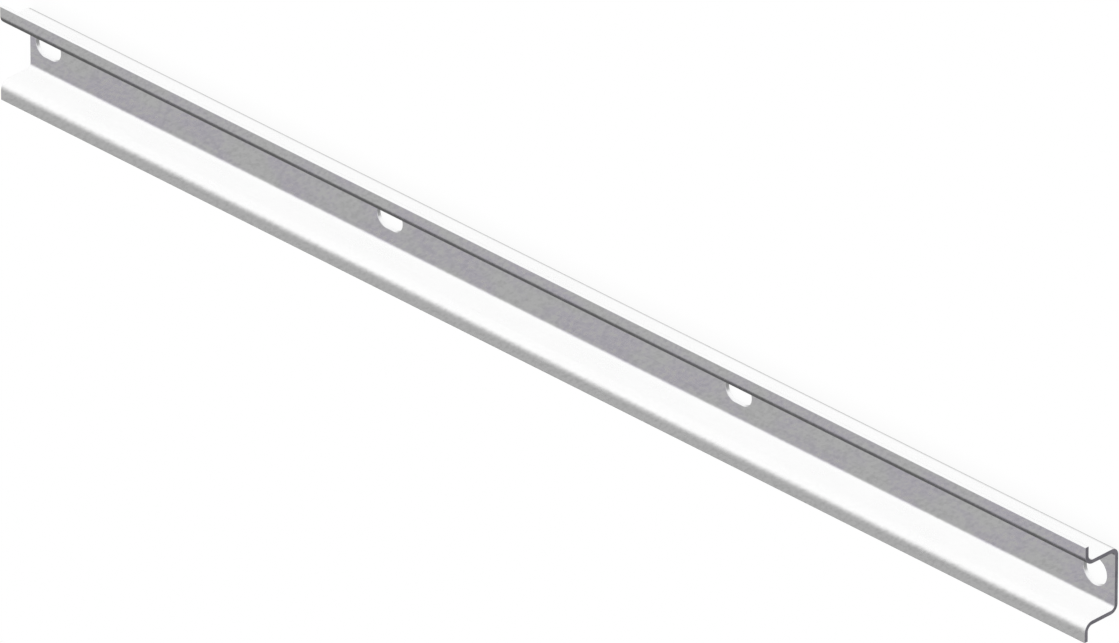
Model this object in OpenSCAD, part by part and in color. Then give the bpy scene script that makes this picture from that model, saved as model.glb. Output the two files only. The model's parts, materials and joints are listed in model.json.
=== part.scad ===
// Top-hat mounting rail: one length of steel strip, roll-formed to a hat section and punched.
// X runs along the rail, Y across it, and Z from the back of the web to the front of the lips.
// The origin is the middle of the web's back face, so the rail lies on its web, open side up.

/* [Rail] */
// Length of the rail, end to end
rail_length = 493; // [100:0.5:2000]
// Width over the two lips, edge to edge
rail_width = 35; // [32:0.5:60]
// Depth from the back of the web to the front of the lips
rail_depth = 15; // [10:0.5:30]
// Thickness of the strip
sheet_t = 1.5; // [0.8:0.1:2.5]

/* [Section] */
// Width of the hat over the outside of its side walls
hat_width = 24; // [20:0.5:26]
// Inside radius of the two bends beside the web
web_bend_r = 1.5; // [0.3:0.1:2]
// Inside radius of the two bends under the lips
lip_bend_r = 2; // [0.3:0.1:2.5]

/* [Fixing holes] */
// Distance from one hole's centre to the next
hole_pitch = 158.6; // [20:0.1:250]
// Least distance from a rail end to the centre of the nearest hole
end_margin = 8; // [7:0.5:50]
// Length of a slot, end to end, along the rail
slot_length = 11.6; // [9:0.1:14]
// Width of a slot
slot_width = 8.3; // [4:0.1:9]
// Diameter of the round hole that fixes the rail at its +X end
round_hole_d = 10.2; // [4:0.1:12]

/* [Hidden] */
$fn = 96;
// Cutters and quarter masks run past the faces that they cut by this much
over = 1;
web_outer_r = web_bend_r + sheet_t;
lip_outer_r = lip_bend_r + sheet_t;
// Half the flat stretch of the web, between its two bends
web_flat = hat_width / 2 - web_outer_r;
// Where each lip's bend ends and its flat starts
lip_start = hat_width / 2 + lip_bend_r;
// The row of holes is centred on the rail, with as many as fit
last_hole = floor((rail_length - 2 * end_margin) / hole_pitch);
first_hole_x = -last_hole * hole_pitch / 2;

// A quarter of a ring of the strip's thickness, in the quadrant that side_y and side_z point to
module bend(inner_r, side_y, side_z) {
    reach = inner_r + sheet_t + over;
    intersection() {
        difference() {
            circle(r = inner_r + sheet_t);
            circle(r = inner_r);
        }
        translate([side_y > 0 ? 0 : -reach, side_z > 0 ? 0 : -reach])
            square(reach);
    }
}

// Half of the hat section: web, bend, side wall, bend and lip, from the middle outwards
module half_section() {
    square([web_flat, sheet_t]);
    translate([web_flat, web_outer_r])
        bend(web_bend_r, 1, -1);
    translate([hat_width / 2 - sheet_t, web_outer_r])
        square([sheet_t, rail_depth - web_outer_r - lip_outer_r]);
    translate([lip_start, rail_depth - lip_outer_r])
        bend(lip_bend_r, -1, 1);
    translate([lip_start, rail_depth - sheet_t])
        square([rail_width / 2 - lip_start, sheet_t]);
}

module hat_section() {
    half_section();
    mirror([1, 0])
        half_section();
}

// A round-ended slot through the web, centred on the origin
module slot_cutter() {
    straight = slot_length - slot_width;
    depth = sheet_t + 2 * over;
    translate([0, 0, -over]) {
        for (side = [-1, 1])
            translate([side * straight / 2, 0, 0])
                cylinder(d = slot_width, h = depth);
        translate([-straight / 2, -slot_width / 2, 0])
            cube([straight, slot_width, depth]);
    }
}

module round_cutter() {
    translate([0, 0, -over])
        cylinder(d = round_hole_d, h = sheet_t + 2 * over);
}

module rail() {
    color("lightgray")
        difference() {
            rotate([90, 0, 90])
                linear_extrude(height = rail_length, center = true)
                    hat_section();
            for (i = [0:last_hole])
                translate([first_hole_x + i * hole_pitch, 0, 0]) {
                    if (i < last_hole) slot_cutter();
                    else round_cutter();
                }
        }
}

rail();
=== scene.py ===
"""Zinc-plated top-hat mounting rail: its looks, camera and light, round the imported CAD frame."""

import json
import math

import bmesh
import bpy
from mathutils import Matrix, Vector


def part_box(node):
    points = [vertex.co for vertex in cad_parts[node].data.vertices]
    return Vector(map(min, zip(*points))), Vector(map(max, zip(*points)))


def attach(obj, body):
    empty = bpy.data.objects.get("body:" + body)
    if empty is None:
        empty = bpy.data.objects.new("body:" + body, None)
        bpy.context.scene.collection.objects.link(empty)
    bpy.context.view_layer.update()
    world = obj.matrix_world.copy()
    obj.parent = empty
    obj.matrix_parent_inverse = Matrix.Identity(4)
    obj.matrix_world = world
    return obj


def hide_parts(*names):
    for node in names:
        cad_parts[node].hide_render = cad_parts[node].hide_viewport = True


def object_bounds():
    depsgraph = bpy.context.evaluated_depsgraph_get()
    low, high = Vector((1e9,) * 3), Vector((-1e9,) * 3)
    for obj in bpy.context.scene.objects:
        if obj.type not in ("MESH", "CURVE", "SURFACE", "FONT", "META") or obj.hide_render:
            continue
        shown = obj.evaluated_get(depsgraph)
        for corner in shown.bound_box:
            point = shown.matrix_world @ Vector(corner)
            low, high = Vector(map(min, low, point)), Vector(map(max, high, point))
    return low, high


MM = 0.001

# The section, in millimetres, as the CAD has it. Radii are inside the bends.
SHEET = 1.5
HAT_WIDTH = 24.0
WEB_BEND = 1.5
LIP_BEND = 2.0
SLOTS = 3
# Small roundings left by slitting, punching and sawing, in millimetres
SLIT_EDGE = 0.22
SAWN_EDGE = 0.12
PUNCH_ENTRY = 0.16
PUNCH_EXIT = 0.06
# How finely bends, small roundings and holes are divided
BEND_STEPS = 12
EDGE_STEPS = 4
HOLE_STEPS = 96

# Colours of the plate, of its violet clouds and its edges, and of the sawn steel and its stains
ZINC = (0.965, 0.965, 0.965, 1)
ZINC_VIOLET = (0.94, 0.91, 1.0, 1)
ZINC_RUBBED = (0.83, 0.83, 0.85, 1)
CUT_STEEL = (0.53, 0.51, 0.57, 1)
CUT_STAIN = (0.39, 0.38, 0.425, 1)
# Share of the rubbed colour on the small roundings
EDGE_RUB = 0.5
# Size of the marks along X, Y and Z, in millimetres
CLOUD_SIZE = (18, 11, 11)
GRAIN_SIZE = (2.4, 1.0, 1.0)
ROLLING_SIZE = (110, 0.9, 0.9)
SAW_SIZE = (3.3, 3.3, 0.3)
STAIN_SIZE = (2, 4, 4)
GRAIN_TURN = math.radians(35)
# Most of a noise lies between these
NOISE_RANGE = (0.3, 0.7)
# Between these the violet clouds and the stains go from none to full
CLOUD_RANGE = (0.40, 0.60)
STAIN_RANGE = (0.4, 0.65)
# Plate gives way to bare steel between these, as the rounding of a sawn end turns along X
CUT_RANGE = (0.5, 0.9)
# The violet fades in between these places across the rail
VIOLET_FADE = (-12 * MM, -9 * MM)
# Between these a surface comes to count as flat, by how squarely it faces front or back
FLAT_RANGE = (0.75, 0.98)
# How far grain and rolling marks shade the plate, and the share of that on walls and on flats
GRAIN_SHADE = (-0.5, 0.5)
ROLLING_SHADE = (-0.15, 0.15)
SHADE_SHARE = (0.03, 0.2)
# Roughness of the plate, and what the grain and a saw cut add to it
ROUGHNESS = (0.20, 0.27)
GRAIN_ROUGHNESS = (-0.02, 0.03)
CUT_ROUGHNESS = 0.16
# Height of the bump, and how strong grain and saw marks are in it beside the rolling marks
RELIEF = 0.02 * MM
RELIEF_STRENGTH = 0.3
GRAIN_RELIEF = 0.6
SAW_RELIEF = 3.0

FLOOR_SIZE = 4
# The floor darkens to this level where the rail stands within this distance over it
SHADOW_LEVEL = 0.94
SHADOW_REACH = 8 * MM

# Level of the light by how far its direction leans from -Y, at 0, to +Y, at 1
SKY = ((0.0, 0.39), (0.25, 0.415), (0.37, 0.475), (0.5, 0.66), (0.64, 0.93), (0.74, 1.04))
# The dark zone lies below this Z and beyond this Y. Towards +X, the lean takes it further to +Y.
DARK_Z = (0.54, 0.36)
DARK_Y = (-0.44, -0.52)
DARK_LEAN = -0.7
# The share of its light that the dark zone keeps goes by X
DARK_X = (-0.2, 0.3)
DARK_SHARE = (0.26, 0.70)
# Past all three of these, on the +X side, the level goes by height alone
SIDE_X = (-0.25, 0.05)
SIDE_Y = (-0.55, -0.25)
SIDE_Z = (-0.38, -0.22)
SIDE_HEIGHT = (-0.5, 0.8)
SIDE_LEVEL = (0.45, 0.95)

# From the rail to the camera, and how far to the right and down of the rail's middle it aims
CAMERA_WAY = (0.6124, 0.5, 0.6124)
CAMERA_DISTANCE = 8.9914
CAMERA_LENS = 900
CAMERA_CLIP = 100
AIM_RIGHT = 3.007 * MM
AIM_DOWN = 3.18 * MM

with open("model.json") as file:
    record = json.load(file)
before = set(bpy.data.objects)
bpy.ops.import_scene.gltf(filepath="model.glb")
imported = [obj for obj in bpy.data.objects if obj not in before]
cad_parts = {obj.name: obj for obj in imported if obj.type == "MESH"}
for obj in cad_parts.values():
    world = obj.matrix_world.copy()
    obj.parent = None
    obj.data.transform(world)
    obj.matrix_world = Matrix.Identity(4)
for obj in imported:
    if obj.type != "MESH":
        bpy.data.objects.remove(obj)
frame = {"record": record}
cad_low, cad_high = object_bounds()
rail_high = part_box("rail")[1]


# ---- Shape ----

def quarter(steps):
    """Angles from 0 to 90 degrees."""
    return [math.pi / 2 * i / steps for i in range(steps + 1)]


def half_path():
    """Middle of the strip from the web to the +Y lip: (y, z) and the way that its front faces."""
    mid = SHEET / 2
    wall = HAT_WIDTH / 2 - mid
    top = rail_high.z / MM - mid
    web_r = WEB_BEND + mid
    lip_r = LIP_BEND + mid
    path = []
    for angle in quarter(BEND_STEPS):
        face = Vector((-math.sin(angle), math.cos(angle)))
        path.append((Vector((wall - web_r, mid + web_r)) - face * web_r, face))
    for angle in quarter(BEND_STEPS):
        face = Vector((-math.cos(angle), math.sin(angle)))
        path.append((Vector((wall + lip_r, top - lip_r)) + face * lip_r, face))
    path.append((Vector((rail_high.y / MM - SLIT_EDGE, top)), Vector((0, 1))))
    return path


def mirrored(points):
    """The same points on the other side of the rail, in the opposite order."""
    return [(Vector((-p.x, p.y)), Vector((-n.x, n.y))) for p, n in reversed(points)]


def lip_edge():
    """The +Y lip's slit edge with its two corners rounded, from the front face to the back one."""
    edge = rail_high.y / MM - SLIT_EDGE
    front = rail_high.z / MM - SLIT_EDGE
    back = rail_high.z / MM - SHEET + SLIT_EDGE
    points = []
    for angle in quarter(EDGE_STEPS)[1:]:
        out = Vector((math.sin(angle), math.cos(angle)))
        points.append((Vector((edge, front)) + out * SLIT_EDGE, out))
    for angle in quarter(EDGE_STEPS)[:-1]:
        out = Vector((math.cos(angle), -math.sin(angle)))
        points.append((Vector((edge, back)) + out * SLIT_EDGE, out))
    return points


def end_rings():
    """Stations along the rail: x, how far the ring shrinks, and how far its normal leans along X."""
    half = rail_high.x / MM
    near = [(half - SAWN_EDGE * (1 - math.sin(a)), SAWN_EDGE * (1 - math.cos(a)), math.sin(a))
            for a in quarter(EDGE_STEPS)]
    return [(-x, shrink, -lean) for x, shrink, lean in reversed(near)] + near


def hole_edge():
    """Profile of a punched edge, front to back: offset into the steel, z, and its normal."""
    points = []
    for a in quarter(EDGE_STEPS):
        points.append((PUNCH_ENTRY * (1 - math.sin(a)), SHEET - PUNCH_ENTRY * (1 - math.cos(a)),
                       math.sin(a), math.cos(a)))
    for a in quarter(EDGE_STEPS):
        points.append((PUNCH_EXIT * (1 - math.cos(a)), PUNCH_EXIT * (1 - math.sin(a)),
                       math.cos(a), -math.sin(a)))
    return points


def holes():
    """Centre, radius and half the straight part of each hole, in millimetres, from the mounts."""
    mounts = {mount["name"]: mount for mount in frame["record"]["mounts"]}
    bore = mounts["fixing_round_hole"]
    slots = mounts["fixing_slots_middle"]["dims"]
    last = bore["pos_m"][0] / MM
    slot_r = slots["hole_r_mm"]
    found = [(last, bore["dims"]["r_mm"], 0)]
    for i in range(1, SLOTS + 1):
        found.append((last - i * slots["spacing_x_mm"], slot_r, slots["slot_length_mm"] / 2 - slot_r))
    return found


class Shell:
    """A mesh under construction, whose points each know their normal and what they are part of."""

    def __init__(self):
        self.bm = bmesh.new()
        floats = self.bm.verts.layers.float
        self.edge = floats.new("edge")
        self.cut = floats.new("cut")
        self.normals = []

    def point(self, at, normal, edge=0.0, cut=0.0):
        made = self.bm.verts.new(Vector(at) * MM)
        made[self.edge] = edge
        made[self.cut] = cut
        self.normals.append(Vector(normal).normalized())
        return made

    def band(self, row, following, skip=()):
        """Quads between two closed rows of points."""
        for j in range(len(row)):
            if j not in skip:
                k = (j + 1) % len(row)
                self.bm.faces.new((row[j], row[k], following[k], following[j]))

    def fill(self, *loops):
        """Flat triangles inside the first loop and outside the others."""
        edges = []
        for loop in loops:
            for i, corner in enumerate(loop):
                pair = (corner, loop[(i + 1) % len(loop)])
                edges.append(self.bm.edges.get(pair) or self.bm.edges.new(pair))
        bmesh.ops.triangle_fill(self.bm, use_beauty=True, edges=edges)

    def finished(self, name):
        bmesh.ops.recalc_face_normals(self.bm, faces=self.bm.faces)
        mesh = bpy.data.meshes.new(name)
        self.bm.to_mesh(mesh)
        self.bm.free()
        mesh.shade_smooth()
        mesh.normals_split_custom_set_from_vertices(self.normals)
        made = bpy.data.objects.new(name, mesh)
        bpy.context.scene.collection.objects.link(made)
        return made


def add_ring(shell, section, station, slit):
    """A closed row of points round the section. Those listed in slit are on the lips' slit edges."""
    x, shrink, lean = station
    flat = math.sqrt(1 - lean * lean)
    ring = []
    for j, (p, n) in enumerate(section):
        at = p - n * shrink
        rounded = 0 < abs(lean) < 1 or j in slit and 0 < abs(n.x) < 1
        ring.append(shell.point((x, at.x, at.y), (lean, n.x * flat, n.y * flat),
                                edge=float(rounded), cut=abs(lean)))
    return ring


def add_hole(shell, centre, radius, straight):
    """Rows of points round one hole, joined up. Returns the first, in front, and the last, behind."""
    rows = []
    for offset, z, inward, up in hole_edge():
        rounded = 0.0 if abs(up) in (0.0, 1.0) else 1.0
        row = []
        for i in range(HOLE_STEPS):
            angle = math.tau * (i + 0.5) / HOLE_STEPS
            out = Vector((math.cos(angle), math.sin(angle), 0))
            middle = Vector((centre + math.copysign(straight, out.x), 0, z))
            row.append(shell.point(middle + out * (radius + offset), Vector((0, 0, up)) - out * inward,
                                   edge=rounded))
        rows.append(row)
    for row, following in zip(rows, rows[1:]):
        shell.band(row, following)
    return rows[0], rows[-1]


def close_end(shell, ring, sheet_points, tip_points):
    """The cut face across the strip at one end."""
    back = sheet_points + tip_points
    for j in range(sheet_points - 1):
        opposite = back + sheet_points - 1 - j
        shell.bm.faces.new((ring[j], ring[j + 1], ring[opposite - 1], ring[opposite]))
    shell.bm.faces.new(ring[sheet_points - 1:back + 1])
    shell.bm.faces.new(ring[back + sheet_points - 1:] + ring[:1])


def make_rail():
    """One closed mesh. The bands leave out the web's two faces, which are filled round the holes."""
    half = half_path()
    path = mirrored(half) + half
    front = [(p + n * SHEET / 2, n) for p, n in path]
    back = [(p - n * SHEET / 2, -n) for p, n in reversed(path)]
    tip = lip_edge()
    section = front + tip + back + mirrored(tip)
    back_start = len(front) + len(tip)
    slit = [*range(len(front), back_start), *range(back_start + len(back), len(section))]
    shell = Shell()
    rings = [add_ring(shell, section, station, slit) for station in end_rings()]

    web_faces = (len(half) - 1, back_start + len(half) - 1)
    middle = len(rings) // 2 - 1
    for i, (ring, following) in enumerate(zip(rings, rings[1:])):
        shell.band(ring, following, skip=web_faces if i == middle else ())
    for ring in (rings[0], rings[-1]):
        close_end(shell, ring, len(front), len(tip))
    rims = [add_hole(shell, *hole) for hole in holes()]
    minus, plus = rings[middle], rings[middle + 1]
    for side, j in enumerate(web_faces):
        shell.fill((minus[j], minus[j + 1], plus[j + 1], plus[j]), *(rim[side] for rim in rims))
    return shell.finished("rail_steel")


# ---- Materials ----

def add(tree, kind, settings=None, **inputs):
    """A node of this kind. Inputs take a value or another node's output."""
    made = tree.nodes.new("ShaderNode" + kind)
    for name, value in (settings or {}).items():
        setattr(made, name, value)
    for name, value in inputs.items():
        plug(tree, made.inputs[name.replace("_", " ")], value)
    return made


def plug(tree, socket, value):
    if isinstance(value, bpy.types.NodeSocket):
        tree.links.new(value, socket)
    else:
        socket.default_value = value


def maths(tree, operation, *values):
    made = add(tree, "Math", {"operation": operation})
    for socket, value in zip(made.inputs, values):
        plug(tree, socket, value)
    return made.outputs[0]


def total(tree, first, second):
    return maths(tree, "ADD", first, second)


def product(tree, first, second):
    return maths(tree, "MULTIPLY", first, second)


def spread(tree, value, span, to=(0.0, 1.0)):
    """Maps one span onto another, clamped at both ends."""
    made = add(tree, "MapRange", Value=value, From_Min=span[0], From_Max=span[1],
               To_Min=to[0], To_Max=to[1])
    return made.outputs[0]


def blend(tree, share, first, second):
    """Colour between two, by share."""
    made = add(tree, "Mix", {"data_type": "RGBA"})
    plug(tree, made.inputs[0], share)
    plug(tree, made.inputs[6], first)
    plug(tree, made.inputs[7], second)
    return made.outputs[2]


def noise(tree, place, size, detail=3.0, turn=0.0):
    """Noise with features of about this size in millimetres along X, Y and Z, turned about Z."""
    laid = add(tree, "Mapping", {"vector_type": "TEXTURE"}, Vector=place)
    laid.inputs["Rotation"].default_value = (0, 0, turn)
    laid.inputs["Scale"].default_value = [length * MM for length in size]
    return add(tree, "TexNoise", Vector=laid.outputs[0], Scale=1.0, Detail=detail).outputs["Fac"]


def attribute(tree, name):
    return add(tree, "Attribute", {"attribute_name": name}).outputs["Fac"]


def plate_colour(tree, where, clouds, grain, rolling):
    """Zinc with violet clouds and fine marks, mostly on its flats, and greyer on small roundings."""
    facing = add(tree, "SeparateXYZ", Vector=where.outputs["Normal"]).outputs["Z"]
    flat = spread(tree, maths(tree, "ABSOLUTE", facing), FLAT_RANGE)
    across = add(tree, "SeparateXYZ", Vector=where.outputs["Object"]).outputs["Y"]
    violet = product(tree, spread(tree, clouds, CLOUD_RANGE), spread(tree, across, VIOLET_FADE))
    plate = blend(tree, product(tree, violet, flat), ZINC, ZINC_VIOLET)
    strokes = spread(tree, grain, NOISE_RANGE, GRAIN_SHADE)
    lines = spread(tree, rolling, NOISE_RANGE, ROLLING_SHADE)
    marks = product(tree, total(tree, strokes, lines), spread(tree, flat, (0, 1), SHADE_SHARE))
    shade = total(tree, 1.0, marks)
    plate = add(tree, "VectorMath", {"operation": "SCALE"}, Vector=plate, Scale=shade).outputs[0]
    return blend(tree, product(tree, attribute(tree, "edge"), EDGE_RUB), plate, ZINC_RUBBED)


def roughness(tree, clouds, grain, cut):
    """Uneven with the clouds and the grain, and duller where the steel is sawn."""
    dull = spread(tree, clouds, NOISE_RANGE, ROUGHNESS)
    dull = total(tree, dull, spread(tree, grain, NOISE_RANGE, GRAIN_ROUGHNESS))
    return total(tree, dull, product(tree, cut, CUT_ROUGHNESS))


def relief(tree, place, grain, rolling, cut):
    """Rolling marks and grain on the plate, and saw marks on the cut ends."""
    saw = noise(tree, place, SAW_SIZE, detail=2.0)
    height = add(tree, "Mix", {"data_type": "FLOAT"})
    plug(tree, height.inputs[0], cut)
    plug(tree, height.inputs[2], total(tree, rolling, product(tree, grain, GRAIN_RELIEF)))
    plug(tree, height.inputs[3], product(tree, saw, SAW_RELIEF))
    bump = add(tree, "Bump", Height=height.outputs[0], Strength=RELIEF_STRENGTH, Distance=RELIEF)
    return bump.outputs[0]


def zinc_material():
    """Bright zinc plate on cold-rolled strip, with the steel bare where the rail is cut to length."""
    material = bpy.data.materials.new("zinc_plated_steel")
    material.use_nodes = True
    tree = material.node_tree
    surface = tree.nodes["Principled BSDF"]
    where = add(tree, "TexCoord")
    place = where.outputs["Object"]
    clouds = noise(tree, place, CLOUD_SIZE)
    grain = noise(tree, place, GRAIN_SIZE, detail=2.0, turn=GRAIN_TURN)
    rolling = noise(tree, place, ROLLING_SIZE)
    cut = attribute(tree, "cut")

    plate = plate_colour(tree, where, clouds, grain, rolling)
    bare = blend(tree, spread(tree, noise(tree, place, STAIN_SIZE), STAIN_RANGE), CUT_STEEL, CUT_STAIN)
    colour = blend(tree, spread(tree, cut, CUT_RANGE), plate, bare)
    plug(tree, surface.inputs["Base Color"], colour)
    plug(tree, surface.inputs["Roughness"], roughness(tree, clouds, grain, cut))
    plug(tree, surface.inputs["Normal"], relief(tree, place, grain, rolling, cut))
    surface.inputs["Metallic"].default_value = 1.0
    return material


# ---- Floor, light and camera ----

def add_floor():
    """A white floor that darkens a little where the rail stands close over it."""
    bpy.ops.mesh.primitive_plane_add(size=FLOOR_SIZE, location=(0, 0, cad_low.z))
    floor = bpy.context.object
    floor.name = "floor"
    material = bpy.data.materials.new("floor")
    material.use_nodes = True
    tree = material.node_tree
    tree.nodes.clear()
    open_sky = add(tree, "AmbientOcclusion", {"samples": 16}, Distance=SHADOW_REACH).outputs["AO"]
    glow = add(tree, "Emission", Strength=spread(tree, open_sky, (0, 1), (SHADOW_LEVEL, 1.0)))
    tree.links.new(glow.outputs[0], add(tree, "OutputMaterial").inputs["Surface"])
    floor.data.materials.append(material)
    # The metal doesn't mirror the floor, which would whiten the dark line under the upper lip
    floor.visible_glossy = False


def ramp(tree, value, stops):
    """Level by position, straight between stops."""
    made = add(tree, "ValToRGB", Fac=value)
    points = made.color_ramp.elements
    while len(points) < len(stops):
        points.new(0.5)
    for point, (at, level) in zip(points, stops):
        point.position = at
        point.color = (level, level, level, 1)
    return made.outputs[0]


def darken_below(tree, way, level):
    """Takes light away low on the -Y side, least of it towards +X."""
    toward_x = spread(tree, way.outputs["X"], (0, 1))
    leaned = maths(tree, "MULTIPLY_ADD", toward_x, DARK_LEAN, way.outputs["Y"])
    zone = product(tree, spread(tree, way.outputs["Z"], DARK_Z), spread(tree, leaned, DARK_Y))
    kept = spread(tree, way.outputs["X"], DARK_X, DARK_SHARE)
    return blend(tree, zone, level, product(tree, level, kept))


def light_aside(tree, way, level):
    """On the +X side, except low down or far round to -Y, the level goes by height."""
    zone = product(tree, spread(tree, way.outputs["X"], SIDE_X), spread(tree, way.outputs["Z"], SIDE_Z))
    zone = product(tree, zone, spread(tree, way.outputs["Y"], SIDE_Y))
    return blend(tree, zone, level, spread(tree, way.outputs["Z"], SIDE_HEIGHT, SIDE_LEVEL))


def add_world():
    """A soft studio, graded by direction: white from the +Y side and grey from the other."""
    world = bpy.data.worlds.new("world")
    bpy.context.scene.world = world
    world.use_nodes = True
    tree = world.node_tree
    tree.nodes.clear()
    way = add(tree, "SeparateXYZ", Vector=add(tree, "TexCoord").outputs["Generated"])
    level = ramp(tree, spread(tree, way.outputs["Y"], (-1, 1)), SKY)
    level = darken_below(tree, way, level)
    level = light_aside(tree, way, level)
    light = add(tree, "Background", Color=(1, 1, 1, 1), Strength=level)
    tree.links.new(light.outputs[0], add(tree, "OutputWorld").inputs["Surface"])


def add_camera():
    """The photograph's view: 45 degrees round, 30 degrees up, with the +Y lip on top."""
    data = bpy.data.cameras.new("camera")
    data.sensor_width = 36
    data.lens = CAMERA_LENS
    data.clip_end = CAMERA_CLIP
    camera = bpy.data.objects.new("camera", data)
    bpy.context.scene.collection.objects.link(camera)
    toward = Vector(CAMERA_WAY).normalized()
    right = Vector((1, 0, -1)).normalized()
    up = toward.cross(right)
    aim = (cad_low + cad_high) / 2 + right * AIM_RIGHT - up * AIM_DOWN
    camera.matrix_world = (Matrix.Translation(aim + toward * CAMERA_DISTANCE)
                           @ Matrix((right, up, toward)).transposed().to_4x4())
    bpy.context.scene.camera = camera


add_camera()
add_floor()
add_world()
rail = make_rail()
rail.data.materials.append(zinc_material())
# In the photograph, too, the rail doesn't mirror itself
rail.visible_glossy = False
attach(rail, "root")
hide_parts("rail")
bpy.context.scene.view_settings.view_transform = "Standard"
